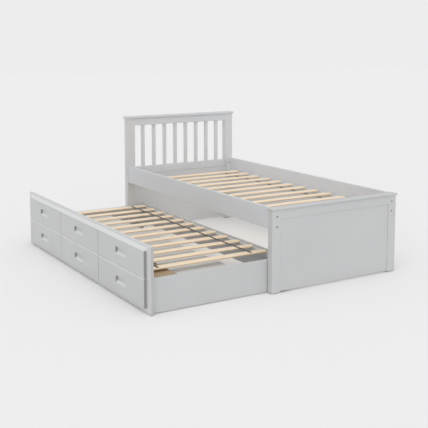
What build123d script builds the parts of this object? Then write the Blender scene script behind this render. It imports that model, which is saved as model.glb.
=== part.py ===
from build123d import *
import os

os.makedirs("parts", exist_ok=True)

# A painted wooden single bed with a trundle. The main bed is a headboard with spindles, a low
# footboard, two side rails and a deck of sprung slats. The trundle rolls out from under it on four
# castors. It carries a second slatted deck and three drawers behind a front that looks like six.
#
# Everything is in millimetres. X runs from the headboard to the footboard, Y runs from the side
# where the trundle comes out to the side that stands against a wall, and Z is up. The origin is on
# the floor, in the middle of the whole object with its trundle pulled out and its drawers shut.

# Main bed, driving dimensions
BED_LENGTH = 2000  # over the head and foot posts
BED_WIDTH = 976  # over the front and back posts
POST = 45  # thickness of every post along X
HEAD_POST_WIDE = 70
HEAD_POST_TOP = 883
FOOT_POST_WIDE = 62
FOOT_POST_TOP = 500
GLIDE_HIGH = 4  # plastic glide under each post
GLIDE_RADIUS = 14
GLIDE_NAIL_RADIUS = 1.5
GLIDE_NAIL_LONG = 15
CAP_LIP = 8  # how far each cap stands out past the posts, all round
HEAD_CAP = 21
FOOT_CAP = 15
CAP_ROUND = 3
EASE = 2  # rounding of the painted boards' long edges
RAIL_INSET = 1.5  # the end frames' rails stand this far inside the faces of the posts
HEAD_TOP_RAIL = 51
HEAD_MID_RAIL = (447, 501)
FOOT_TOP_RAIL = 52
PANEL_THICK = 12
PANEL_INSET = 5  # the panels stand this far inside the faces of the posts
PANEL_GROOVE = 8  # how far a panel goes into the posts and the rail above it
HEAD_PANEL_BOTTOM = 16
FOOT_PANEL_BOTTOM = 10
BACK_PANEL_BOTTOM = 20
BACK_PANEL_IN = 10  # from the outer face of the posts to the back panel
SPINDLES = 8
SPINDLE_PITCH = 97
SPINDLE_WIDE = 26
SPINDLE_DEEP = 20
TENON = 10

# Side rails, their joint to the posts and the deck of slats
SIDE_RAIL = (385, 515)
SIDE_RAIL_THICK = 22
SIDE_RAIL_INSET = 5  # the rail's outer face, inside the outer face of the posts
LEDGE_WIDE = 25
BED_LEDGE_HIGH = 29
BLOCK_LONG = 38  # corner block, along X
BLOCK_WIDE = 44
BOLT_FROM_EDGE = 35  # from the posts' outer edges
BOLT_HEIGHTS = (403, 464)
BOLT_RADIUS = 3
BOLT_LONG = 58
BOLT_HEAD_RADIUS = 5
BOLT_HEAD_HIGH = 4
COUNTERBORE_RADIUS = 5.6
COUNTERBORE_DEEP = 12
SOCKET_RADIUS = 2.3  # hexagon socket in the bolt's head, over its corners
SOCKET_DEEP = 2.5
NUT_RADIUS = 5
NUT_LONG = 16
NUT_FROM_POST = 22  # the barrel nut's axis, from the inner face of the post
SCREW_HEIGHT = 476  # the screw that holds a corner block to its post
SCREW_RADIUS = 2.5
SCREW_LONG = 55
SCREW_HEAD_RADIUS = 4.8
SCREW_HEAD_HIGH = 2.5
SCREW_SUNK = 6
FIT = 0.05  # clearance round a bolt, nut or axle in its hole, and in a tight wood joint
SLATS = 12
SLAT_PITCH = 149
BED_DECK_X = 9  # middle of the bed's row of slats
SLAT_WIDE = 60
SLAT_THICK = 8
SLAT_BOW = 2
SLAT_ROUND = 2.5  # rounding of a slat's upper edges
SLAT_SPARE = 5  # bent length that is cut off each end as it is shaped
SLAT_CORNER = 21  # rounding of a slat's ends, seen from above
SLAT_END_GAP = 4  # from a slat's tip to the rail
WEBBING_WIDE = 16
WEBBING_THICK = 1.2
BED_WEBBING_IN = 140  # from the tips of the slats, under the bed's deck
TRUNDLE_WEBBING_IN = 115  # from the tips of the slats, over the trundle's deck

# Trundle, driving dimensions
TRUNDLE_OUT = 768  # from the bed's front posts to the back of the trundle's front, pulled out
BOARD = 18  # thickness of the trundle's boards
FRONT_HALF = 975  # half the length of the front
FRONT_RISE = (3, 385)
OPENING_RISE = (40, 161)  # the drawers' openings
END_PANEL_HALF = 950  # to the outer faces of the trundle's ends
END_PANEL_RISE = (3, 200)
TRUNDLE_DEPTH = 913  # from the back of the front to the outer face of the back rail
BACK_RAIL_RISE = (60, 206)
FACE_HALF = 924  # half the length of the six drawer faces side by side
FACE_GAP = 4
UPPER_FACE = (203, 354)
LOWER_FACE = (33, 200)
FACE_BEVEL = (8, 10)  # on the lower faces' upper edges, along Y and Z
HANDLE_SPACING = 628
HANDLE_LONG = 132
HANDLE_HIGH = 42
HANDLE_CORNER = 8
HANDLE_DEEP = 12
HANDLE_RAMP = 14  # how far the floor of a finger pull climbs to its back
HANDLE_HEIGHTS = (112, 285)
MOULDING_HALF = 930
MOULDING_FOOT = 354.5
MOULDING_PROFILE = ((0, 18.5), (-9, 10.5), (-9, 6.5), (-18, 1.5), (-18, 0), (0, 0))  # along Y and Z
DIVIDER_X = 308  # middle of each divider between the drawers
DIVIDER_DEEP = 560
DUST_PANEL = (160, 166)
DUST_PANEL_DEEP = 568
SHELF_RISE = (166, 184)
SHELF_DEEP = 198
TRUNDLE_DECK_X = -52  # middle of the trundle's row of slats
TRUNDLE_SLAT_BOTTOM = 197
TRUNDLE_SLAT_FRONT_GAP = 11
TRUNDLE_SLAT_BACK_GAP = 12
BACK_LEDGE_HIGH = 32

# Drawers and their slides
BOX_THICK = 12
BOX_DEEP = 556
BOX_RISE = (47, 155)
BOX_BOTTOM = 4
SLIDE_SPACE = 13  # between a drawer's side and the wood beside it
SLIDE_RISE = (65, 95)
SLIDE_DEEP = 11.5
SLIDE_WALL = 1.5
SLIDE_LIP = 2.5
SLIDE_PLAY = 0.3
SLIDE_LONG = 500
CLEAT_RISE = (62, 98)

# Castors
WHEEL_RADIUS = 25
WHEEL_WIDE = 16
WHEEL_ROUND = 3
HUB_RADIUS = 8
HUB_PLAY = 0.2
DISH_RADIUS = 18
DISH_DEEP = 3
AXLE_RADIUS = 3
AXLE_HEAD_RADIUS = 5
AXLE_HEAD_LONG = 1.5
BRACKET_WIDE = 26
BRACKET_LONG = 44
BRACKET_TOP = 56
BRACKET_BOTTOM = 16
BRACKET_THICK = 2
CASTOR_IN = 60  # from the front of the trundle's inside, and from its back

# Places worked out from the driving dimensions
DEPTH = BED_WIDTH + CAP_LIP + TRUNDLE_OUT + 2 * BOARD
BACK_Y = DEPTH / 2 - CAP_LIP
FRONT_Y = BACK_Y - BED_WIDTH
MID_Y = (FRONT_Y + BACK_Y) / 2
END_X = BED_LENGTH / 2
POST_IN = END_X - POST
BLOCK_IN = POST_IN - BLOCK_LONG
RAIL_INNER = SIDE_RAIL_INSET + SIDE_RAIL_THICK
BOARD_BACK = FRONT_Y - TRUNDLE_OUT
BOARD_FRONT = BOARD_BACK - BOARD
FACE_FRONT = BOARD_FRONT - BOARD
TRUNDLE_BACK = BOARD_BACK + TRUNDLE_DEPTH
RAIL_IN_Y = TRUNDLE_BACK - BOARD
INNER_HALF = END_PANEL_HALF - BOARD
SLAT_XS = [SLAT_PITCH * (i - (SLATS - 1) / 2) for i in range(SLATS)]  # from the middle of a deck
SLAT_BOTTOM = SIDE_RAIL[0] + BED_LEDGE_HIGH
BAY_EDGES = (INNER_HALF - BOARD, DIVIDER_X + BOARD / 2, DIVIDER_X - BOARD / 2)
FACE_WIDE = (2 * FACE_HALF - 2 * FACE_GAP) / 3
DRAWERS = {"head": -1, "middle": 0, "foot": 1}


def around(middle, size):
    """The span of a given size about its middle."""
    return (middle - size / 2, middle + size / 2)


def flipped(span, side):
    """A span as it is, or seen in a mirror at zero when side is -1."""
    return tuple(sorted(side * end for end in span))


def centre(spans):
    """The middle of a box given as its spans along X, Y and Z."""
    return tuple(sum(span) / 2 for span in spans)


def sizes(spans):
    """The sizes of a box given as its spans along X, Y and Z."""
    return tuple(span[1] - span[0] for span in spans)


def board(xs, ys, zs, ease=EASE, cuts=()):
    """A straight board, its long edges rounded over, with straight-sided recesses cut into it."""
    spans = (xs, ys, zs)
    lengths = sizes(spans)
    along = (Axis.X, Axis.Y, Axis.Z)[lengths.index(max(lengths))]
    with BuildPart() as piece:
        with Locations(centre(spans)):
            Box(*lengths)
        if ease:
            fillet(piece.edges().filter_by(along), ease)
        for recess in cuts:
            with Locations(centre(recess)):
                Box(*sizes(recess), mode=Mode.SUBTRACT)
    return piece


def group(pieces):
    """Several solids that lie apart, as one part."""
    with BuildPart() as together:
        for piece in pieces:
            add(piece.part)
    return together


def save(piece, name):
    """Labels a finished piece and writes it."""
    piece.part.label = name
    export_step(piece.part, f"parts/{name}.step")


def drilled(piece, holes):
    """A piece with round holes, each given as a plane at its mouth, a radius and a depth."""
    with BuildPart() as result:
        add(piece.part)
        for mouth, radius, deep in holes:
            with BuildSketch(mouth):
                Circle(radius)
            extrude(amount=-deep, mode=Mode.SUBTRACT)
    return result


# End -1 is the head and 1 is the foot. Side -1 is the front of the bed and 1 is its back.
ENDS = (-1, 1)
SIDES = (-1, 1)
BOLT_YS = (FRONT_Y + BOLT_FROM_EDGE, BACK_Y - BOLT_FROM_EDGE)


def across(side, start, stop):
    """A span along Y that runs inwards from the outer face of the posts on one side of the bed."""
    edge = FRONT_Y if side < 0 else BACK_Y
    return tuple(sorted((edge - side * start, edge - side * stop)))


def screw_plane(end, side):
    """A plane on the face of a corner block that looks along the bed, at the axis of its screw."""
    y = sum(across(side, RAIL_INNER, RAIL_INNER + BLOCK_WIDE)) / 2
    return Plane(origin=(end * BLOCK_IN, y, SCREW_HEIGHT), x_dir=(0, 1, 0), z_dir=(-end, 0, 0))


def outward(end, y, z, inset=0):
    """A plane that faces out along X from the outer face of the head (-1) or foot (1) posts."""
    return Plane(origin=(end * (END_X - inset), y, z), x_dir=(0, 1, 0), z_dir=(end, 0, 0))


def back_panel_spans(play=0.0):
    """The back panel's thickness and height, up to its tongue in the side rail."""
    ys = across(1, BACK_PANEL_IN - play, BACK_PANEL_IN + PANEL_THICK + play)
    return ys, (BACK_PANEL_BOTTOM - play, SIDE_RAIL[0] + PANEL_GROOVE + play)


def post(end, y_edge, width, top, panel_bottom):
    """A post with its bolt holes, the nail hole of its glide and the grooves for its panels."""
    side = 1 if y_edge < MID_Y else -1
    xs = flipped((POST_IN, END_X), end)
    ys = tuple(sorted((y_edge, y_edge + side * width)))
    inner_edge = y_edge + side * width
    groove = (
        panel_span(end, FIT),
        around(inner_edge, 2 * PANEL_GROOVE + 2 * FIT),
        (panel_bottom - FIT, panel_top(end) + PANEL_GROOVE),
    )
    cuts = [groove]
    if y_edge == BACK_Y:
        cuts.append((flipped(around(POST_IN, 2 * PANEL_GROOVE + 2 * FIT), end), *back_panel_spans(FIT)))
    blank = board(xs, ys, (GLIDE_HIGH, top), cuts=cuts)
    bolt_y = y_edge + side * BOLT_FROM_EDGE
    holes = [(Plane((end * (END_X - POST / 2), sum(ys) / 2, GLIDE_HIGH), z_dir=(0, 0, -1)),
              GLIDE_NAIL_RADIUS + FIT, GLIDE_NAIL_LONG)]
    rail_side = -1 if y_edge < MID_Y else 1
    screw = screw_plane(end, rail_side).offset(-BLOCK_LONG)
    holes.append((screw, SCREW_RADIUS + FIT, SCREW_SUNK + SCREW_LONG - BLOCK_LONG + 1))
    for z in BOLT_HEIGHTS:
        holes.append((outward(end, bolt_y, z), COUNTERBORE_RADIUS, COUNTERBORE_DEEP))
        holes.append((outward(end, bolt_y, z), BOLT_RADIUS + FIT, POST))
    return drilled(blank, holes)


def panel_span(end, play=0.0):
    """The thickness of the head or foot panel along X. Both are set towards the footboard's side."""
    if end < 0:
        outer = -POST_IN - PANEL_INSET
    else:
        outer = END_X - PANEL_INSET
    return (outer - PANEL_THICK - play, outer + play)


def panel_top(end):
    """The underside of the rail above the head or foot panel."""
    return HEAD_MID_RAIL[0] if end < 0 else FOOT_POST_TOP - FOOT_TOP_RAIL


def cross_rail(end, width, zs, cuts=()):
    """A rail across the bed between the inner edges of two posts of the given width."""
    xs = flipped((POST_IN + RAIL_INSET, END_X - RAIL_INSET), end)
    return board(xs, (FRONT_Y + width, BACK_Y - width), zs, cuts=cuts)


def cap(end, bottom, thick):
    """A cap over the posts and the top rail, bevelled below and rounded above."""
    spans = (
        flipped((POST_IN - CAP_LIP, END_X + CAP_LIP), end),
        (FRONT_Y - CAP_LIP, BACK_Y + CAP_LIP),
        (bottom, bottom + thick),
    )
    with BuildPart() as piece:
        with Locations(centre(spans)):
            Box(*sizes(spans))
        chamfer(piece.faces().sort_by(Axis.Z)[0].edges(), CAP_LIP - 0.5)
        fillet(piece.faces().sort_by(Axis.Z)[-1].edges(), CAP_ROUND)
    return piece


def end_panel(end, width, bottom):
    """A thin panel held in the grooves of two posts and of the rail above it."""
    ys = (FRONT_Y + width - PANEL_GROOVE, BACK_Y - width + PANEL_GROOVE)
    return board(panel_span(end), ys, (bottom, panel_top(end) + PANEL_GROOVE), ease=0)


def panel_groove(end, width):
    """The groove for a panel in the underside of the rail above it."""
    return (
        panel_span(end, FIT),
        (FRONT_Y + width - 1, BACK_Y - width + 1),
        around(panel_top(end), 2 * PANEL_GROOVE + 2 * FIT),
    )


# Headboard
head_rail_zs = (HEAD_POST_TOP - HEAD_TOP_RAIL, HEAD_POST_TOP)
spindle_ys = [MID_Y + SPINDLE_PITCH * (i - (SPINDLES - 1) / 2) for i in range(SPINDLES)]
spindle_x = -(POST_IN + POST / 2)


def spindle_mortises(face_z):
    """The mortises of the spindles in the face of a rail at the given height."""
    spans = []
    for y in spindle_ys:
        xs = around(spindle_x, SPINDLE_DEEP + 2 * FIT)
        spans.append((xs, around(y, SPINDLE_WIDE + 2 * FIT), around(face_z, 2 * TENON + 2 * FIT)))
    return spans


def spindle(y):
    """A flat spindle that goes into the rail below and above it."""
    zs = (HEAD_MID_RAIL[1] - TENON, head_rail_zs[0] + TENON)
    return board(around(spindle_x, SPINDLE_DEEP), around(y, SPINDLE_WIDE), zs)


head_mid_cuts = [*spindle_mortises(HEAD_MID_RAIL[1]), panel_groove(-1, HEAD_POST_WIDE)]
save(post(-1, FRONT_Y, HEAD_POST_WIDE, HEAD_POST_TOP, HEAD_PANEL_BOTTOM), "head_post_front")
save(post(-1, BACK_Y, HEAD_POST_WIDE, HEAD_POST_TOP, HEAD_PANEL_BOTTOM), "head_post_back")
save(cap(-1, HEAD_POST_TOP, HEAD_CAP), "head_cap")
save(cross_rail(-1, HEAD_POST_WIDE, head_rail_zs, spindle_mortises(head_rail_zs[0])), "head_top_rail")
save(cross_rail(-1, HEAD_POST_WIDE, HEAD_MID_RAIL, head_mid_cuts), "head_middle_rail")
save(group([spindle(y) for y in spindle_ys]), "head_spindles")
save(end_panel(-1, HEAD_POST_WIDE, HEAD_PANEL_BOTTOM), "head_panel")

# Footboard
foot_rail_zs = (FOOT_POST_TOP - FOOT_TOP_RAIL, FOOT_POST_TOP)
foot_groove = [panel_groove(1, FOOT_POST_WIDE)]
save(post(1, FRONT_Y, FOOT_POST_WIDE, FOOT_POST_TOP, FOOT_PANEL_BOTTOM), "foot_post_front")
save(post(1, BACK_Y, FOOT_POST_WIDE, FOOT_POST_TOP, FOOT_PANEL_BOTTOM), "foot_post_back")
save(cap(1, FOOT_POST_TOP, FOOT_CAP), "foot_cap")
save(cross_rail(1, FOOT_POST_WIDE, foot_rail_zs, foot_groove), "foot_top_rail")
save(end_panel(1, FOOT_POST_WIDE, FOOT_PANEL_BOTTOM), "foot_panel")


def glide(end, y):
    """A round plastic glide on a nail, under a post."""
    x = end * (END_X - POST / 2)
    with BuildPart() as piece:
        with BuildSketch(Plane.XY):
            with Locations((x, y)):
                Circle(GLIDE_RADIUS)
        extrude(amount=GLIDE_HIGH)
        chamfer(piece.faces().sort_by(Axis.Z)[0].edges(), 1)
        with BuildSketch(Plane.XY.offset(GLIDE_HIGH)):
            with Locations((x, y)):
                Circle(GLIDE_NAIL_RADIUS)
        extrude(amount=GLIDE_NAIL_LONG - 1)
    return piece


glides = []
for end, width in ((-1, HEAD_POST_WIDE), (1, FOOT_POST_WIDE)):
    glides.append(glide(end, FRONT_Y + width / 2))
    glides.append(glide(end, BACK_Y - width / 2))
save(group(glides), "post_glides")


# Side rails, slat ledges and corner blocks
block_zs = (SIDE_RAIL[0], FOOT_POST_TOP)


def side_rail(side):
    """A side rail, notched round the lip of the foot cap. The back one is grooved for the back panel."""
    notch_xs = (POST_IN - CAP_LIP - FIT, POST_IN + 1)
    cuts = [(notch_xs, across(side, 0, RAIL_INNER + 1), (FOOT_POST_TOP - FIT, SIDE_RAIL[1] + 1))]
    if side > 0:
        cuts.append(((-END_X, END_X), *back_panel_spans(FIT)))
    return board((-POST_IN, POST_IN), across(side, SIDE_RAIL_INSET, RAIL_INNER), SIDE_RAIL, cuts=cuts)


def slat_ledge(side):
    """The batten under the ends of the slats, between the corner blocks."""
    ys = across(side, RAIL_INNER, RAIL_INNER + LEDGE_WIDE)
    return board((-BLOCK_IN, BLOCK_IN), ys, (SIDE_RAIL[0], SLAT_BOTTOM), ease=1)


def inward(end, side, z):
    """A plane on a corner block's inner face, at the axis of a barrel nut."""
    y = across(side, RAIL_INNER + BLOCK_WIDE, 0)[0 if side > 0 else 1]
    origin = (end * (POST_IN - NUT_FROM_POST), y, z)
    return Plane(origin=origin, x_dir=(1, 0, 0), z_dir=(0, -side, 0))


def corner_block(end, side):
    """The block that joins a side rail to its post, with its bolt, barrel nut and screw holes."""
    xs = flipped((BLOCK_IN, POST_IN), end)
    blank = board(xs, across(side, RAIL_INNER, RAIL_INNER + BLOCK_WIDE), block_zs, ease=1)
    bolt_y = BOLT_YS[0] if side < 0 else BOLT_YS[1]
    holes = []
    for z in BOLT_HEIGHTS:
        bolt_deep = BOLT_LONG + COUNTERBORE_DEEP - POST + 1
        holes.append((outward(end, bolt_y, z, POST), BOLT_RADIUS + FIT, bolt_deep))
        holes.append((inward(end, side, z), NUT_RADIUS + FIT, BLOCK_WIDE - 1))
    holes.append((screw_plane(end, side), SCREW_HEAD_RADIUS + FIT, SCREW_SUNK))
    holes.append((screw_plane(end, side), SCREW_RADIUS + FIT, BLOCK_LONG))
    return drilled(blank, holes)


def block_screw(end, side):
    """The pan-head screw that holds a corner block to its post."""
    mouth = screw_plane(end, side)
    with BuildPart() as piece:
        with BuildSketch(mouth.offset(SCREW_HEAD_HIGH - SCREW_SUNK)):
            Circle(SCREW_HEAD_RADIUS)
        extrude(amount=-SCREW_HEAD_HIGH)
        fillet(piece.faces().sort_by(Axis.X)[0 if end > 0 else -1].edges(), 1)
        with BuildSketch(mouth.offset(-SCREW_SUNK)):
            Circle(SCREW_RADIUS)
        extrude(amount=-SCREW_LONG)
    return piece


def bolt(end, y, z):
    """A socket-head bolt, sunk into a post and running into its barrel nut."""
    head_top = COUNTERBORE_DEEP - BOLT_HEAD_HIGH
    with BuildPart() as piece:
        with BuildSketch(outward(end, y, z, head_top)):
            Circle(BOLT_HEAD_RADIUS)
        extrude(amount=-BOLT_HEAD_HIGH)
        with BuildSketch(outward(end, y, z, COUNTERBORE_DEEP)):
            Circle(BOLT_RADIUS)
        extrude(amount=-BOLT_LONG)
        with BuildSketch(outward(end, y, z, head_top)):
            RegularPolygon(SOCKET_RADIUS, 6)
        extrude(amount=-SOCKET_DEEP, mode=Mode.SUBTRACT)
    return piece


def barrel_nut(end, side, z):
    """A round cross nut in a corner block, bored for its bolt."""
    plane = inward(end, side, z)
    deep = BLOCK_WIDE - 1 - NUT_LONG
    with BuildPart() as piece:
        with BuildSketch(plane.offset(-deep)):
            Circle(NUT_RADIUS)
        extrude(amount=-NUT_LONG)
        bolt_y = BOLT_YS[0] if side < 0 else BOLT_YS[1]
        with BuildSketch(outward(end, bolt_y, z)):
            Circle(BOLT_RADIUS + FIT)
        extrude(amount=-2 * POST - BLOCK_LONG, mode=Mode.SUBTRACT)
    return piece


corners = [(end, side) for end in ENDS for side in SIDES]
save(side_rail(-1), "side_rail_front")
save(side_rail(1), "side_rail_back")
tongue = POST_IN + PANEL_GROOVE
save(board((-tongue, tongue), *back_panel_spans(), ease=0), "back_panel")
save(group([slat_ledge(side) for side in SIDES]), "slat_ledges")
save(group([corner_block(end, side) for end, side in corners]), "corner_blocks")
save(group([bolt(end, y, z) for end in ENDS for y in BOLT_YS for z in BOLT_HEIGHTS]), "rail_bolts")
nuts = [barrel_nut(end, side, z) for end, side in corners for z in BOLT_HEIGHTS]
save(group(nuts), "barrel_nuts")
save(group([block_screw(end, side) for end, side in corners]), "block_screws")


# Slats and webbing, for both decks
def slat_deck(middle_x, ys, bottom):
    """A row of sprung slats, bowed up a little, with rounded ends and upper edges."""
    middle = sum(ys) / 2
    front = ys[0] - SLAT_SPARE
    back = ys[1] + SLAT_SPARE
    with BuildPart() as slat:
        with BuildSketch(Plane.YZ):
            with BuildLine():
                under = ThreePointArc((front, bottom), (middle, bottom + SLAT_BOW), (back, bottom))
                top = bottom + SLAT_THICK
                over = ThreePointArc((front, top), (middle, top + SLAT_BOW), (back, top))
                Line(under @ 0, over @ 0)
                Line(under @ 1, over @ 1)
            make_face()
        extrude(amount=SLAT_WIDE / 2, both=True)
        fillet(slat.faces().sort_by(Axis.Z)[-1].edges().filter_by(GeomType.CIRCLE), SLAT_ROUND)
        with BuildSketch(Plane.XY.offset(bottom - 1)):
            with Locations((0, middle)):
                RectangleRounded(SLAT_WIDE, ys[1] - ys[0], SLAT_CORNER)
        extrude(amount=SLAT_BOW + SLAT_THICK + 2, mode=Mode.INTERSECT)
    with BuildPart() as deck:
        with Locations(*[(middle_x + x, 0, 0) for x in SLAT_XS]):
            add(slat.part)
    return deck


def webbing(middle_x, ys, bottom, inset, over):
    """Two straps along the bed that hold the slats apart, over their tops or under them."""
    front, back = ys
    middle = (front + back) / 2
    reach = (back - front) / 2 - inset
    half = (back - front) / 2 + SLAT_SPARE
    bend = (half**2 + SLAT_BOW**2) / (2 * SLAT_BOW)  # radius of the bowed slat
    drop = bend - (bend**2 - reach**2) ** 0.5
    rise = SLAT_THICK if over else 0
    straps = []
    for side in (-1, 1):
        origin = (middle_x, middle + side * reach, bottom + rise + SLAT_BOW - drop)
        lean = Plane(origin=origin, x_dir=(1, 0, 0), z_dir=(0, side * reach / bend, 1))
        with BuildPart() as strap:
            with BuildSketch(lean.offset(FIT if over else -FIT)):
                Rectangle(SLAT_XS[-1] - SLAT_XS[0] + SLAT_WIDE / 2, WEBBING_WIDE)
            extrude(amount=WEBBING_THICK if over else -WEBBING_THICK)
        straps.append(strap)
    return group(straps)


bed_slat_ys = (FRONT_Y + RAIL_INNER + SLAT_END_GAP, BACK_Y - RAIL_INNER - SLAT_END_GAP)
save(slat_deck(BED_DECK_X, bed_slat_ys, SLAT_BOTTOM), "bed_slats")
bed_straps = webbing(BED_DECK_X, bed_slat_ys, SLAT_BOTTOM, BED_WEBBING_IN, over=False)
save(bed_straps, "bed_webbing")

# Trundle's front: a frame round three drawer openings, with three false drawer faces above them
front_ys = (BOARD_FRONT, BOARD_BACK)
face_ys = (FACE_FRONT, BOARD_FRONT)
stiles = [flipped((BAY_EDGES[0], FRONT_HALF), end) for end in ENDS]
mullions = [around(end * DIVIDER_X, BOARD) for end in ENDS]
save(board((-FRONT_HALF, FRONT_HALF), front_ys, (OPENING_RISE[1], FRONT_RISE[1])), "trundle_front_board")
save(board((-FRONT_HALF, FRONT_HALF), front_ys, (FRONT_RISE[0], OPENING_RISE[0])), "trundle_bottom_rail")
uprights = [board(xs, front_ys, OPENING_RISE) for xs in stiles]
uprights += [board(xs, front_ys, OPENING_RISE, ease=0) for xs in mullions]
save(group(uprights), "trundle_uprights")


def finger_pull(place, handle_z):
    """The hollow of a finger pull, whose floor climbs towards its back."""
    low, high = around(handle_z, HANDLE_HIGH)
    back = FACE_FRONT + HANDLE_DEEP
    with BuildPart() as hollow:
        with BuildSketch(Plane.YZ.offset(place * HANDLE_SPACING)):
            with BuildLine():
                Polyline((FACE_FRONT, low), (back, low + HANDLE_RAMP), (back, high), (FACE_FRONT, high),
                         close=True)
            make_face()
        extrude(amount=HANDLE_LONG / 2, both=True)
        with BuildSketch(Plane.XZ.offset(-FACE_FRONT)):
            with Locations((place * HANDLE_SPACING, handle_z)):
                RectangleRounded(HANDLE_LONG, HANDLE_HIGH, HANDLE_CORNER)
        extrude(amount=-BOARD, mode=Mode.INTERSECT)
    return hollow


def drawer_face(place, zs, handle_z, bevel=(0, 0)):
    """A drawer face with rounded front edges, a finger pull and, if asked, a bevel along its top."""
    middle = place * (FACE_WIDE + FACE_GAP)
    low, high = zs
    outline = [(BOARD_FRONT, low), (FACE_FRONT, low), (FACE_FRONT, high - bevel[1])]
    if bevel[0]:
        outline.append((FACE_FRONT + bevel[0], high))
    with BuildPart() as face:
        with BuildSketch(Plane.YZ.offset(middle)):
            with BuildLine():
                Polyline(*outline, (BOARD_FRONT, high), close=True)
            make_face()
        extrude(amount=FACE_WIDE / 2, both=True)
        fillet(face.faces().sort_by(Axis.Y)[0].edges(), EASE)
        add(finger_pull(place, handle_z).part, mode=Mode.SUBTRACT)
    return face


def moulding():
    """The bevelled strip above the false faces, with its ends cut back to the same slope."""
    start = Plane(origin=(-MOULDING_HALF, BOARD_FRONT, MOULDING_FOOT), x_dir=(0, 1, 0), z_dir=(1, 0, 0))
    with BuildPart() as strip:
        with BuildSketch(start):
            with BuildLine():
                Polyline(*MOULDING_PROFILE, close=True)
            make_face()
        extrude(amount=2 * MOULDING_HALF)
        for end in ENDS:
            tip = end * MOULDING_HALF
            front = BOARD_FRONT - BOARD
            with BuildSketch(Plane.XY.offset(MOULDING_FOOT)):
                with BuildLine():
                    Polyline((tip, BOARD_FRONT), (tip, front), (tip - end * BOARD, front), close=True)
                make_face()
            extrude(amount=BOARD + 1, mode=Mode.SUBTRACT)
    return strip


for name, place in DRAWERS.items():
    save(drawer_face(place, UPPER_FACE, HANDLE_HEIGHTS[1]), f"false_face_{name}")
save(moulding(), "trundle_moulding")

# Trundle's body
inside = (-INNER_HALF, INNER_HALF)
for name, end in (("head", -1), ("foot", 1)):
    xs = flipped((INNER_HALF, END_PANEL_HALF), end)
    save(board(xs, (BOARD_BACK, RAIL_IN_Y), END_PANEL_RISE), f"trundle_end_{name}")
back_rail_spans = ((-END_PANEL_HALF, END_PANEL_HALF), (RAIL_IN_Y, TRUNDLE_BACK), BACK_RAIL_RISE)
save(board(*back_rail_spans), "trundle_back_rail")
divider_spans = ((BOARD_BACK, BOARD_BACK + DIVIDER_DEEP), (LOWER_FACE[0] - BOARD, DUST_PANEL[0]))
save(group([board(xs, *divider_spans, ease=0) for xs in mullions]), "drawer_dividers")
save(board(inside, (BOARD_BACK, BOARD_BACK + DUST_PANEL_DEEP), DUST_PANEL, ease=0), "dust_panel")
save(board(inside, (BOARD_BACK, BOARD_BACK + SHELF_DEEP), SHELF_RISE, ease=0), "front_stretcher")
cleat_ys = (BOARD_BACK, BOARD_BACK + DIVIDER_DEEP)
cleats = [board(flipped((BAY_EDGES[0], INNER_HALF), end), cleat_ys, CLEAT_RISE, ease=1) for end in ENDS]
save(group(cleats), "slide_cleats")
front_ledge_ys = (BOARD_BACK, BOARD_BACK + LEDGE_WIDE)
front_ledge_zs = (SHELF_RISE[1], TRUNDLE_SLAT_BOTTOM)
save(board(inside, front_ledge_ys, front_ledge_zs, ease=1), "trundle_front_ledge")
back_ledge_ys = (RAIL_IN_Y - LEDGE_WIDE, RAIL_IN_Y)
back_ledge_zs = (TRUNDLE_SLAT_BOTTOM - BACK_LEDGE_HIGH, TRUNDLE_SLAT_BOTTOM)
save(board(inside, back_ledge_ys, back_ledge_zs, ease=1), "trundle_back_ledge")
trundle_slat_ys = (BOARD_BACK + TRUNDLE_SLAT_FRONT_GAP, RAIL_IN_Y - TRUNDLE_SLAT_BACK_GAP)
trundle_deck = (TRUNDLE_DECK_X, trundle_slat_ys, TRUNDLE_SLAT_BOTTOM)
save(slat_deck(*trundle_deck), "trundle_slats")
trundle_straps = webbing(*trundle_deck, TRUNDLE_WEBBING_IN, over=True)
save(trundle_straps, "trundle_webbing")


# Drawer slides. Each is a channel on the wood and a bar on the drawer's side that runs inside it.
def bay(place):
    """The clear span along X of the bay that a drawer stands in."""
    if place == 0:
        return (-BAY_EDGES[2], BAY_EDGES[2])
    return flipped((BAY_EDGES[1], BAY_EDGES[0]), place)


def slide_channel(wall_x, side):
    """A channel on the wood at wall_x that opens towards side, 1 for +X and -1 for -X."""
    ys = (BOARD_BACK + 1, BOARD_BACK + 1 + SLIDE_LONG)
    xs = tuple(sorted((wall_x, wall_x + side * SLIDE_DEEP)))
    pocket = tuple(sorted((wall_x + side * SLIDE_WALL, wall_x + side * (SLIDE_DEEP + 1))))
    pocket_zs = (SLIDE_RISE[0] + SLIDE_LIP, SLIDE_RISE[1] - SLIDE_LIP)
    slot = (pocket, (ys[0] - 1, ys[1] + 1), pocket_zs)
    return board(xs, ys, SLIDE_RISE, ease=0, cuts=(slot,))


def slide_bar(wall_x, side):
    """The bar on a drawer's side that runs in the channel on the wood at wall_x."""
    xs = tuple(sorted((wall_x + side * 2 * SLIDE_WALL, wall_x + side * SLIDE_SPACE)))
    ys = (BOARD_BACK + 1, BOARD_BACK + SLIDE_LONG - 1)
    zs = (SLIDE_RISE[0] + SLIDE_LIP + SLIDE_PLAY, SLIDE_RISE[1] - SLIDE_LIP - SLIDE_PLAY)
    return board(xs, ys, zs, ease=1)


def drawer_box(place):
    """The four walls of a drawer: its sides run through, its front and back stand between them."""
    left, right = bay(place)
    left += SLIDE_SPACE
    right -= SLIDE_SPACE
    ys = (BOARD_FRONT, BOARD_FRONT + BOX_DEEP)
    between = (left + BOX_THICK + FIT, right - BOX_THICK - FIT)
    walls = [
        board((left, left + BOX_THICK), ys, BOX_RISE, ease=1),
        board((right - BOX_THICK, right), ys, BOX_RISE, ease=1),
        board(between, (ys[0], ys[0] + BOX_THICK), BOX_RISE, ease=1),
        board(between, (ys[1] - BOX_THICK, ys[1]), BOX_RISE, ease=1),
    ]
    return group(walls)


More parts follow.
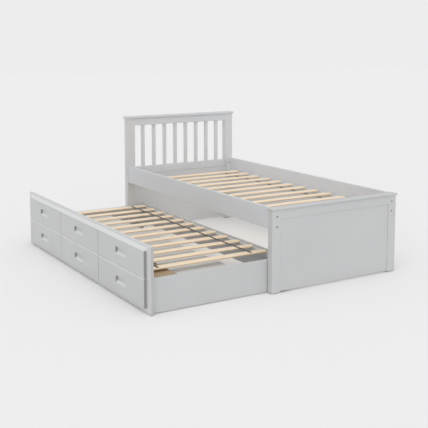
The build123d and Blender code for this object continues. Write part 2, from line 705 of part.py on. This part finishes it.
def drawer_bottom(place):
    """The thin bottom under a drawer's walls."""
    left, right = bay(place)
    ys = (BOARD_FRONT, BOARD_FRONT + BOX_DEEP)
    zs = (BOX_RISE[0] - BOX_BOTTOM, BOX_RISE[0])
    return board((left + SLIDE_SPACE, right - SLIDE_SPACE), ys, zs, ease=0)


channels = []
for name, place in DRAWERS.items():
    left, right = bay(place)
    channels += [slide_channel(left, 1), slide_channel(right, -1)]
    save(drawer_face(place, LOWER_FACE, HANDLE_HEIGHTS[0], FACE_BEVEL), f"drawer_{name}_face")
    save(drawer_box(place), f"drawer_{name}_box")
    save(drawer_bottom(place), f"drawer_{name}_bottom")
    save(group([slide_bar(left, 1), slide_bar(right, -1)]), f"drawer_{name}_slides")
save(group(channels), "slide_channels")

# Castors, inside the corners of the trundle. Each is fixed, so it rolls only along Y.
castor_ys = {"front": BOARD_BACK + CASTOR_IN, "back": RAIL_IN_Y - CASTOR_IN}
bracket_inner = BRACKET_WIDE - BRACKET_THICK


def castor_plane(end, y, inset):
    """A plane at a wheel's axis, facing the trundle's end from inset millimetres inside it."""
    return Plane(origin=(end * (INNER_HALF - inset), y, WHEEL_RADIUS), x_dir=(0, 1, 0), z_dir=(end, 0, 0))


def castor_bracket(end, y):
    """A folded bracket whose two cheeks hold the axle."""
    xs = flipped((INNER_HALF - BRACKET_WIDE, INNER_HALF), end)
    ys = around(y, BRACKET_LONG)
    hollow_xs = flipped((INNER_HALF - bracket_inner, INNER_HALF - BRACKET_THICK), end)
    hollow = (hollow_xs, around(y, BRACKET_LONG + 2), (BRACKET_BOTTOM - 1, BRACKET_TOP - BRACKET_THICK))
    blank = board(xs, ys, (BRACKET_BOTTOM, BRACKET_TOP), ease=0, cuts=(hollow,))
    return drilled(blank, [(castor_plane(end, y, 0), AXLE_RADIUS + FIT, BRACKET_WIDE)])


def castor_axle(end, y):
    """The axle through both cheeks, with its head on the inner one."""
    with BuildPart() as piece:
        with BuildSketch(castor_plane(end, y, 0)):
            Circle(AXLE_RADIUS)
        extrude(amount=-BRACKET_WIDE)
        with BuildSketch(castor_plane(end, y, BRACKET_WIDE)):
            Circle(AXLE_HEAD_RADIUS)
        extrude(amount=-AXLE_HEAD_LONG)
    return piece


def castor_wheel(end, y):
    """A dished wheel with a hub that fills the bracket, less its play."""
    middle = BRACKET_WIDE / 2
    hub_wide = bracket_inner - BRACKET_THICK - 2 * HUB_PLAY
    with BuildPart() as wheel:
        with BuildSketch(castor_plane(end, y, middle - WHEEL_WIDE / 2)):
            Circle(WHEEL_RADIUS)
        extrude(amount=-WHEEL_WIDE)
        fillet(wheel.edges(), WHEEL_ROUND)
        for face_x, way in ((middle - WHEEL_WIDE / 2, -1), (middle + WHEEL_WIDE / 2, 1)):
            with BuildSketch(castor_plane(end, y, face_x)):
                Circle(DISH_RADIUS)
            extrude(amount=way * DISH_DEEP, mode=Mode.SUBTRACT)
        with BuildSketch(castor_plane(end, y, middle - hub_wide / 2)):
            Circle(HUB_RADIUS)
        extrude(amount=-hub_wide)
        with BuildSketch(castor_plane(end, y, 0)):
            Circle(AXLE_RADIUS + FIT)
        extrude(amount=-BRACKET_WIDE, mode=Mode.SUBTRACT)
    return wheel


castors = [(end, y) for end in ENDS for y in castor_ys.values()]
save(group([castor_bracket(end, y) for end, y in castors]), "castor_brackets")
save(group([castor_axle(end, y) for end, y in castors]), "castor_axles")
for end_name, end in (("head", -1), ("foot", 1)):
    for side_name, y in castor_ys.items():
        save(castor_wheel(end, y), f"wheel_{end_name}_{side_name}")
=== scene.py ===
import math

import bmesh
import bpy
from mathutils import Matrix, Vector


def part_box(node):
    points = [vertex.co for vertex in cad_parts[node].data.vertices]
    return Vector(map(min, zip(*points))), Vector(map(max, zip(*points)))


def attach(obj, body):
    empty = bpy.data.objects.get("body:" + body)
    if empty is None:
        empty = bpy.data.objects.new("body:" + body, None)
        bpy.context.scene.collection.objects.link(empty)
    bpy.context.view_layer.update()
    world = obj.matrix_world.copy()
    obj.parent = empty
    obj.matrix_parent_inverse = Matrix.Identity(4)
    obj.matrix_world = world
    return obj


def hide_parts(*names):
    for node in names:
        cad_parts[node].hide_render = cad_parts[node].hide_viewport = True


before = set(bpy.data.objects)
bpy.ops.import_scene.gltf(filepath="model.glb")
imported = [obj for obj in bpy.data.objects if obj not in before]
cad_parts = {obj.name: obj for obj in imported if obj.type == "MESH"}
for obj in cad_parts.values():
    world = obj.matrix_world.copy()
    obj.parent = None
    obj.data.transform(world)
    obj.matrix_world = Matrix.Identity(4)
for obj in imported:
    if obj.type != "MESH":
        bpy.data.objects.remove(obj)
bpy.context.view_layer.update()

# A painted single bed with its trundle rolled out. The CAD nodes keep their shapes and get procedural
# materials here. The webbing of both slatted decks is made again with its weave, its slack between the
# slats and its staples. Everything is in metres, in the CAD's frame: +X to the footboard, +Z up.

# Camera: where it stands, where it looks and how much it sees
CAMERA_PLACE = (4.858, -2.855, 1.484)
CAMERA_HEADING = 148.5  # degrees from +X, turning towards +Y
CAMERA_DIP = 6.58  # degrees below level
CAMERA_LENS = 69.4  # on a sensor 36 mm wide
CAMERA_SHIFT = -0.18
CAMERA_REACH = 200.0

# Light: an even studio dome, one very soft key from above and a broad fill from the camera's side
DOME_LIGHT = 0.70
BACKDROP = 0.845
LIGHTS = {  # strength, direction it comes from, softness in degrees
    "key": (0.55, Vector((0.20, -0.10, 1.0)), 60),
    "fill": (0.62, Vector((0.75, -0.55, 0.55)), 75),
}
FLOOR_SIZE = 60
FLOOR_COLOUR = (0.878, 0.878, 0.878)
BAY_LIGHT = 1.25  # watts, on a panel under the bed's slats that opens up the shade there
BAY_LIGHT_PLACE = (0.0, 0.46, 0.38)
BAY_LIGHT_SIZE = (1.80, 0.74)

# Colours, linear. The bed has one grey paint. The shades, ends and tint below it aren't other coats: they
# stand in for how light falls on each surface in one studio view, beyond what the lights above give.
PAINT = (0.640, 0.646, 0.652)
PAINT_SHADE = (0.615, 0.621, 0.627)
INNER_SHADE = 1.04  # on the head end, the side rails and the front's frame
BACK_SHADE = 1.14  # on the back side rail
MOULDING_SHADE = 1.18
OUTER_SHADE = 0.912  # on the foot end, the drawer faces and the trundle's outside
PULL_SHADE = 1.15  # painted highlight where a face slopes up, in the finger pulls and along the bevels
FACE_END_PAINTED_SHADE = (0.30, 0.303, 0.306)  # painted shade on the end faces of the drawer faces
FRONT_END = (0.485, 0.489, 0.493)  # painted shade on the end faces of the trundle's front
COOL = (0.98, 1.0, 1.03)  # offsets the warm light that the slats throw on the wood beside them
PLAIN = (1.0, 1.0, 1.0)
LINER = (0.66, 0.67, 0.675)
SLAT_PALE = (0.96, 0.83, 0.66)
SLAT_WARM = (0.90, 0.71, 0.50)
# darker tan on the slats' sides: partly their sawn wood, partly painted shade
SLAT_SIDE_SAWN_AND_SHADED = (0.74, 0.53, 0.34)
BOARD_PALE = (0.46, 0.34, 0.21)
BOARD_WARM = (0.34, 0.24, 0.14)
CHARCOAL = (0.030, 0.031, 0.034)
CHARCOAL_WORN = (0.060, 0.061, 0.065)
ZINC = (0.60, 0.61, 0.62)
DARK_STEEL = (0.10, 0.10, 0.105)
NYLON = (0.045, 0.045, 0.048)

# Webbing and staples
STRAP_THICK = 0.0012
STRAP_WIDE = 0.016
STRAP_SAG = 0.0022
STRAP_STEPS = 8  # along each gap between two slats
STRAP_LEAN = 0.006  # slope of the slats towards their tips, under a strap
STAPLE_SPAN = 0.0105
STAPLE_WIRE = 0.0009
STAPLE_APART = 0.014  # two staples on each slat
STAPLE_PROUD = 0.3  # share of the wire that stands clear of the strap
STRAP_EDGE = 0.35  # rounding of a strap's edges, as a share of its thickness
RIB_PITCH = 0.0016
YARN_PITCH = 0.0012

SLAT_PITCH = 0.149


# Node helpers
class Shader:
    """A material's node tree, with short calls for the nodes that the materials below share."""

    def __init__(self, name):
        self.material = bpy.data.materials.new(name)
        self.material.use_nodes = True
        self.tree = self.material.node_tree
        self.bsdf = self.tree.nodes["Principled BSDF"]
        self.place = self.add("ShaderNodeTexCoord").outputs["Object"]

    def add(self, kind, **settings):
        node = self.tree.nodes.new(kind)
        for key, value in settings.items():
            setattr(node, key, value)
        return node

    def link(self, output, socket):
        self.tree.links.new(output, socket)

    def fill(self, socket, value):
        """Puts a number, a vector or another node's output into a socket."""
        if isinstance(value, bpy.types.NodeSocket):
            self.link(value, socket)
        else:
            socket.default_value = value

    def math(self, operation, a, b=0.0, c=0.0):
        node = self.add("ShaderNodeMath", operation=operation)
        for socket, value in zip(node.inputs, (a, b, c)):
            self.fill(socket, value)
        return node.outputs["Value"]

    def stretch(self, scale, vector=None):
        """The object's coordinates in metres, scaled along each axis."""
        node = self.add("ShaderNodeMapping")
        self.fill(node.inputs["Vector"], self.place if vector is None else vector)
        node.inputs["Scale"].default_value = scale
        return node.outputs["Vector"]

    def noise(self, vector, scale, detail=2.0, rough=0.5, distortion=0.0):
        node = self.add("ShaderNodeTexNoise")
        self.fill(node.inputs["Vector"], vector)
        node.inputs["Scale"].default_value = scale
        node.inputs["Detail"].default_value = detail
        node.inputs["Roughness"].default_value = rough
        node.inputs["Distortion"].default_value = distortion
        return node.outputs["Fac"]

    def ramp(self, value, low, high, start=0.0, stop=1.0):
        """A value's range mapped to start..stop, held at both ends."""
        node = self.add("ShaderNodeMapRange")
        self.fill(node.inputs["Value"], value)
        node.inputs["From Min"].default_value = low
        node.inputs["From Max"].default_value = high
        node.inputs["To Min"].default_value = start
        node.inputs["To Max"].default_value = stop
        return node.outputs["Result"]

    def mix(self, amount, a, b):
        node = self.add("ShaderNodeMix", data_type="RGBA")
        self.fill(node.inputs["Factor"], amount)
        for socket, colour in ((node.inputs[6], a), (node.inputs[7], b)):
            self.fill(socket, (*colour, 1.0) if isinstance(colour, tuple) else colour)
        return node.outputs[2]

    def facing(self, axis):
        """How far the surface faces along an axis of the frame, from -1 to 1."""
        parts = self.add("ShaderNodeSeparateXYZ")
        self.link(self.add("ShaderNodeNewGeometry").outputs["True Normal"], parts.inputs[0])
        return parts.outputs[axis]

    def bump(self, height, distance, strength=1.0, normal=None):
        node = self.add("ShaderNodeBump")
        self.fill(node.inputs["Height"], height)
        node.inputs["Distance"].default_value = distance
        node.inputs["Strength"].default_value = strength
        if normal is not None:
            self.link(normal, node.inputs["Normal"])
        return node.outputs["Normal"]

    def finish(self, colour, roughness, normal, **constants):
        """Connects what varies, and sets what is the same all over on the shader itself."""
        self.fill(self.bsdf.inputs["Base Color"], colour)
        self.fill(self.bsdf.inputs["Roughness"], roughness)
        self.link(normal, self.bsdf.inputs["Normal"])
        for key, value in constants.items():
            self.bsdf.inputs[key.replace("_", " ").title().replace("Ior", "IOR")].default_value = value
        return self.material


GRAIN = {"x": (1.0, 22.0, 22.0), "y": (22.0, 1.0, 22.0), "z": (22.0, 22.0, 1.0)}


def painted(name, along=None, ends=None, slopes=None, shade=1.0, tint=PLAIN):
    """Satin grey paint: roller texture on board, or timber grain that shows faintly through it."""
    s = Shader(name)
    # shade and tint scale the one paint per surface as painted light and shade.
    paint = tuple(shade * t * c for t, c in zip(tint, PAINT))
    paint_shade = tuple(shade * t * c for t, c in zip(tint, PAINT_SHADE))
    cloud = s.noise(s.place, 2.6, 3.0)
    speck = s.noise(s.place, 900.0, 1.0)
    colour = s.mix(s.ramp(cloud, 0.35, 0.65), paint, paint_shade)
    texture = s.noise(s.place, 420.0, 3.0, 0.6)
    normal = s.bump(texture, 0.00006, 0.55)
    if along:
        grain = s.noise(s.stretch(GRAIN[along]), 9.0, 4.0, 0.62, 0.5)
        normal = s.bump(grain, 0.0004, 0.30, normal)
        faint = s.ramp(grain, 0.42, 0.62, 0.0, 0.35)
        colour = s.mix(faint, colour, tuple(c * 0.955 for c in paint))
    colour = s.mix(s.ramp(speck, 0.70, 0.78, 0.0, 0.25), colour, tuple(c * 0.93 for c in paint))
    # Painted highlight: faces that slope up are made lighter.
    if slopes:
        colour = s.mix(s.ramp(s.facing("Z"), 0.15, 0.45), colour, tuple(slopes * c for c in PAINT))
    # Painted shade: faces that look along X take the darker ends colour.
    if ends:
        colour = s.mix(s.ramp(s.math("ABSOLUTE", s.facing("X")), 0.80, 0.95), colour, ends)
    rough = s.ramp(s.noise(s.place, 14.0, 3.0), 0.3, 0.7, 0.40, 0.52)
    return s.finish(colour, rough, normal)


def softwood(name, pale, warm, along, pitch=None, figure=7.0, edge=None):
    """Sanded softwood with long grain, fine fibres and, on a deck of slats, a tint of its own for each."""
    s = Shader(name)
    place = s.place
    tint = None
    if pitch:
        parts = s.add("ShaderNodeSeparateXYZ")
        s.link(s.place, parts.inputs[0])
        order = s.math("FLOOR", s.math("ADD", s.math("DIVIDE", parts.outputs["X"], pitch), 0.5))
        random = s.add("ShaderNodeTexWhiteNoise", noise_dimensions="1D")
        s.link(order, random.inputs["W"])
        tint = random.outputs["Value"]
        shift = s.add("ShaderNodeVectorMath", operation="MULTIPLY_ADD")
        s.link(random.outputs["Color"], shift.inputs[0])
        shift.inputs[1].default_value = (3.0, 3.0, 3.0)
        s.link(s.place, shift.inputs[2])
        place = shift.outputs["Vector"]
    long_grain = s.noise(s.stretch(GRAIN[along], place), figure, 3.0, 0.55, 1.4)
    bands = s.math("SINE", s.math("MULTIPLY", long_grain, 34.0))
    fibre = s.noise(s.stretch(tuple(3.0 * v for v in GRAIN[along]), place), 30.0, 2.0, 0.7)
    amount = s.math("MULTIPLY_ADD", s.ramp(bands, -1.0, 1.0), 0.50, s.ramp(fibre, 0.3, 0.7, 0.0, 0.30))
    colour = s.mix(amount, pale, warm)
    if tint is not None:
        colour = s.mix(s.ramp(tint, 0.0, 1.0, 0.0, 0.30), colour, warm)
    # The slats' faces along X are darker tan: partly their sawn sides, partly painted shade.
    if edge:
        sawn_and_shaded = s.ramp(s.math("ABSOLUTE", s.facing("X")), 0.70, 0.95)
        colour = s.mix(s.math("MULTIPLY", sawn_and_shaded, s.ramp(fibre, 0.2, 0.8, 0.8, 1.0)), colour, edge)
    rough = s.ramp(fibre, 0.3, 0.7, 0.50, 0.66)
    normal = s.bump(fibre, 0.00012, 0.6)
    normal = s.bump(bands, 0.00010, 0.35, normal)
    return s.finish(colour, rough, normal)


def liner(name):
    """Printed foil on thin board, slightly glossier than the paint."""
    s = Shader(name)
    cloud = s.noise(s.place, 4.0, 2.0)
    fleck = s.noise(s.stretch(GRAIN["x"]), 26.0, 3.0)
    colour = s.mix(s.ramp(cloud, 0.3, 0.7), LINER, tuple(c * 0.97 for c in LINER))
    colour = s.mix(s.ramp(fleck, 0.45, 0.65, 0.0, 0.30), colour, tuple(c * 0.92 for c in LINER))
    return s.finish(colour, s.ramp(fleck, 0.3, 0.7, 0.34, 0.44), s.bump(fleck, 0.00008, 0.4))


def woven(name):
    """Charcoal webbing: ribs across the strap crossed by fine yarns along it."""
    s = Shader(name)
    parts = s.add("ShaderNodeSeparateXYZ")
    s.link(s.place, parts.inputs[0])
    across = s.math("SINE", s.math("MULTIPLY", parts.outputs["X"], 2 * math.pi / RIB_PITCH))
    along = s.math("SINE", s.math("MULTIPLY", parts.outputs["Y"], 2 * math.pi / YARN_PITCH))
    weave = s.ramp(s.math("MULTIPLY", across, along), -1.0, 1.0)
    fuzz = s.noise(s.place, 1400.0, 2.0)
    colour = s.mix(s.math("MULTIPLY", weave, fuzz), CHARCOAL, CHARCOAL_WORN)
    normal = s.bump(weave, 0.0003, 0.9)
    return s.finish(colour, s.ramp(fuzz, 0.3, 0.7, 0.80, 0.95), normal, sheen_weight=0.25)


def steel(name, colour, low, high):
    """Zinc-plated steel with drawing lines along it and a little tarnish."""
    s = Shader(name)
    lines = s.noise(s.stretch((1.0, 60.0, 60.0)), 60.0, 2.0)
    tarnish = s.noise(s.place, 40.0, 4.0)
    tone = s.mix(s.ramp(tarnish, 0.4, 0.7, 0.0, 0.6), colour, tuple(0.72 * c for c in colour))
    return s.finish(tone, s.ramp(lines, 0.3, 0.7, low, high), s.bump(lines, 0.00004, 0.5), metallic=0.92)


def moulded(name, colour):
    """Moulded plastic with a fine spark-eroded texture."""
    s = Shader(name)
    grain = s.noise(s.place, 1100.0, 2.0)
    scuff = s.noise(s.place, 90.0, 4.0)
    tone = s.mix(s.ramp(scuff, 0.55, 0.75), colour, tuple(1.9 * c for c in colour))
    return s.finish(tone, s.ramp(grain, 0.3, 0.7, 0.42, 0.60), s.bump(grain, 0.00006, 0.5))


MATERIALS = {
    "side_paint": painted("grey_paint_on_side_rails", "x", shade=INNER_SHADE, tint=COOL),
    "back_rail_paint": painted("grey_paint_on_back_rail", "x", shade=BACK_SHADE, tint=COOL),
    "head_rail_paint": painted("grey_paint_on_head_rails", "y", shade=INNER_SHADE, tint=COOL),
    "head_post_paint": painted("grey_paint_on_head_posts", "z", shade=INNER_SHADE),
    "inner_board_paint": painted("grey_paint_on_inner_boards", shade=INNER_SHADE),
    "foot_rail_paint": painted("grey_paint_on_foot_rails", "y", shade=OUTER_SHADE),
    "foot_post_paint": painted("grey_paint_on_foot_posts", "z", shade=OUTER_SHADE),
    "outer_board_paint": painted("grey_paint_on_outer_boards", shade=OUTER_SHADE),
    "face_paint": painted("grey_paint_on_faces", ends=FACE_END_PAINTED_SHADE, slopes=PULL_SHADE, shade=OUTER_SHADE),
    "front_paint": painted("grey_paint_on_front", "x", ends=FRONT_END, shade=INNER_SHADE),
    "moulding_paint": painted("grey_paint_on_moulding", "x", ends=FRONT_END, shade=MOULDING_SHADE),
    "slats": softwood("slat_wood", SLAT_PALE, SLAT_WARM, "y", pitch=SLAT_PITCH, edge=SLAT_SIDE_SAWN_AND_SHADED),
    "board": softwood("raw_board", BOARD_PALE, BOARD_WARM, "x", figure=5.0),
    "liner": liner("grey_liner"),
    "webbing": woven("webbing"),
    "zinc": steel("zinc_steel", ZINC, 0.28, 0.42),
    "dark_steel": steel("bolt_steel", DARK_STEEL, 0.32, 0.48),
    "nylon": moulded("castor_plastic", NYLON),
}

# Which finish each CAD node has. The first entry whose words a node's name starts or ends with wins.
FINISHES = (
    ("bed_slats trundle_slats", "slats"),
    ("bed_webbing trundle_webbing", "webbing"),
    ("front_stretcher slide_cleats trundle_front_ledge", "board"),
    ("rail_bolts barrel_nuts block_screws castor_axles", "dark_steel"),
    ("slide_channels castor_brackets _slides", "zinc"),
    ("wheel_ post_glides", "nylon"),
    ("_box _bottom dust_panel drawer_dividers", "liner"),
    ("false_face_ _face", "face_paint"),
    ("trundle_moulding", "moulding_paint"),
    ("trundle_front_board trundle_bottom_rail trundle_uprights", "front_paint"),
    ("side_rail_back", "back_rail_paint"),
    ("side_rail_front slat_ledges", "side_paint"),
    ("head_post_ head_spindles corner_blocks", "head_post_paint"),
    ("head_panel back_panel trundle_back_ledge", "inner_board_paint"),
    ("head_", "head_rail_paint"),
    ("foot_post_", "foot_post_paint"),
    ("foot_panel", "outer_board_paint"),
    ("foot_", "foot_rail_paint"),
)


def finish_of(node):
    """The name of the material that a CAD node gets."""
    for words, name in FINISHES:
        if any(node.startswith(word) or node.endswith(word) for word in words.split()):
            return name
    return "outer_board_paint"


for node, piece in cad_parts.items():
    for place in piece.material_slots:
        place.material = MATERIALS[finish_of(node)]


# Webbing
def made(name, mesh_from, finish, body):
    """A new object from a bmesh, with its material, riding on a body."""
    mesh = bpy.data.meshes.new(name)
    mesh_from.to_mesh(mesh)
    mesh_from.free()
    piece = bpy.data.objects.new(name, mesh)
    bpy.context.scene.collection.objects.link(piece)
    mesh.materials.append(MATERIALS[finish])
    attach(piece, body)
    return piece


def slat_places(node):
    """The middle of each slat of a deck along X, and half a slat's width."""
    low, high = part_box(node)
    count = round((high.x - low.x) / SLAT_PITCH) + 1
    half = (high.x - low.x - (count - 1) * SLAT_PITCH) / 2
    return [low.x + half + i * SLAT_PITCH for i in range(count)], half


def ribbon(mesh, start, stop, y, lean, height):
    """A strap from start to stop along X, whose height is a function of x, leaning across its width."""
    steps = max(2, round((stop - start) / (SLAT_PITCH / (2 * STRAP_STEPS))))
    rings = []
    for i in range(steps + 1):
        x = start + (stop - start) * i / steps
        z = height(x)
        ring = []
        for across, up in ((-1, 0), (1, 0), (1, 1), (-1, 1)):
            dy = across * STRAP_WIDE / 2
            ring.append(mesh.verts.new((x, y + dy, z + lean * dy + up * STRAP_THICK)))
        rings.append(ring)
    for a, b in zip(rings, rings[1:]):
        for j in range(4):
            mesh.faces.new((a[j], a[(j + 1) % 4], b[(j + 1) % 4], b[j]))
    mesh.faces.new(reversed(rings[0]))
    mesh.faces.new(rings[-1])


def staple(mesh, x, y, z, lean):
    """The crown of a wire staple across a strap."""
    tilt = Matrix.Rotation(math.atan(lean), 4, "X")
    size = Matrix.Diagonal((STAPLE_WIRE, STAPLE_SPAN, STAPLE_WIRE, 1.0))
    bmesh.ops.create_cube(mesh, size=1.0, matrix=Matrix.Translation((x, y, z)) @ tilt @ size)


def rounded(piece, width):
    """Rounds the edges of a piece."""
    bevel = piece.modifiers.new("rounded", "BEVEL")
    bevel.width = width
    bevel.segments = 2


def webbing(node, deck, body, over):
    """Both straps of a deck: taut on each slat, a little slack between, with two staples a slat."""
    low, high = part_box(node)
    xs, half = slat_places(deck)
    straps = bmesh.new()
    wires = bmesh.new()
    for side, y in ((-1, low.y + STRAP_WIDE / 2), (1, high.y - STRAP_WIDE / 2)):
        lean = -side * STRAP_LEAN
        base = low.z + (high.z - low.z - STRAP_THICK) / 2

        def height(x):
            gap = abs((x - xs[0]) / SLAT_PITCH % 1.0 - 0.5) * SLAT_PITCH  # 0 in the middle of a gap
            free = SLAT_PITCH / 2 - half
            inside = max(0.0, 1.0 - (gap / free) ** 2)
            return base - STRAP_SAG * inside

        ribbon(straps, low.x, high.x, y, lean, height)
        for x in xs:
            for dx in (-STAPLE_APART / 2, STAPLE_APART / 2):
                proud = STAPLE_WIRE * STAPLE_PROUD
                z = base + STRAP_THICK + proud if over else base - proud
                staple(wires, x + dx, y, z, lean)
    strap = made(f"{node}_woven", straps, "webbing", body)
    rounded(strap, STRAP_THICK * STRAP_EDGE)
    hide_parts(node)
    wire = made(f"{node}_staples", wires, "dark_steel", body)
    rounded(wire, STAPLE_WIRE * STAPLE_PROUD)


webbing("bed_webbing", "bed_slats", "root", over=False)
webbing("trundle_webbing", "trundle_slats", "trundle", over=True)


# Stage, light and camera
def floor():
    """A pale seamless floor, big enough to reach the horizon."""
    bpy.ops.mesh.primitive_plane_add(size=FLOOR_SIZE, location=(0, 0, 0))
    plane = bpy.context.object
    plane.name = "floor"
    s = Shader("floor")
    s.bsdf.inputs["Base Color"].default_value = (*FLOOR_COLOUR, 1.0)
    s.bsdf.inputs["Roughness"].default_value = 0.9
    s.bsdf.inputs["Specular IOR Level"].default_value = 0.0
    plane.data.materials.append(s.material)


def dome():
    """Even light from all round, with the backdrop's own brightness where the camera sees it."""
    world = bpy.data.worlds.new("studio")
    world.use_nodes = True
    tree = world.node_tree
    back = tree.nodes["Background"]
    back.inputs["Color"].default_value = (1.0, 1.0, 1.0, 1.0)
    rays = tree.nodes.new("ShaderNodeLightPath")
    level = tree.nodes.new("ShaderNodeMapRange")
    tree.links.new(rays.outputs["Is Camera Ray"], level.inputs["Value"])
    level.inputs["To Min"].default_value = DOME_LIGHT
    level.inputs["To Max"].default_value = BACKDROP
    tree.links.new(level.outputs["Result"], back.inputs["Strength"])
    bpy.context.scene.world = world


def sun(name, strength, source, softness):
    """A sun so soft that its shadows fade within a few centimetres."""
    light = bpy.data.lights.new(name, "SUN")
    light.energy = strength
    light.angle = math.radians(softness)
    lamp = bpy.data.objects.new(name, light)
    lamp.rotation_mode = "QUATERNION"
    lamp.rotation_quaternion = source.to_track_quat("Z", "Y")
    bpy.context.scene.collection.objects.link(lamp)


def bay_light():
    """A broad panel of light that shines down on the floor under the bed's slats."""
    light = bpy.data.lights.new("bay", "AREA")
    light.shape = "RECTANGLE"
    light.size, light.size_y = BAY_LIGHT_SIZE
    light.energy = BAY_LIGHT
    lamp = bpy.data.objects.new("bay", light)
    lamp.location = BAY_LIGHT_PLACE
    lamp.visible_camera = False
    bpy.context.scene.collection.objects.link(lamp)


def camera():
    """The camera, level but for a slight dip, so that uprights stay nearly upright."""
    data = bpy.data.cameras.new("camera")
    data.sensor_width = 36.0
    data.lens = CAMERA_LENS
    data.shift_y = CAMERA_SHIFT
    data.clip_end = CAMERA_REACH
    eye = bpy.data.objects.new("camera", data)
    eye.location = CAMERA_PLACE
    eye.rotation_euler = (math.radians(90 - CAMERA_DIP), 0.0, math.radians(CAMERA_HEADING - 90))
    bpy.context.scene.collection.objects.link(eye)
    bpy.context.scene.camera = eye


floor()
dome()
for name, settings in LIGHTS.items():
    sun(name, *settings)
bay_light()
camera()
bpy.context.scene.view_settings.view_transform = "Standard"
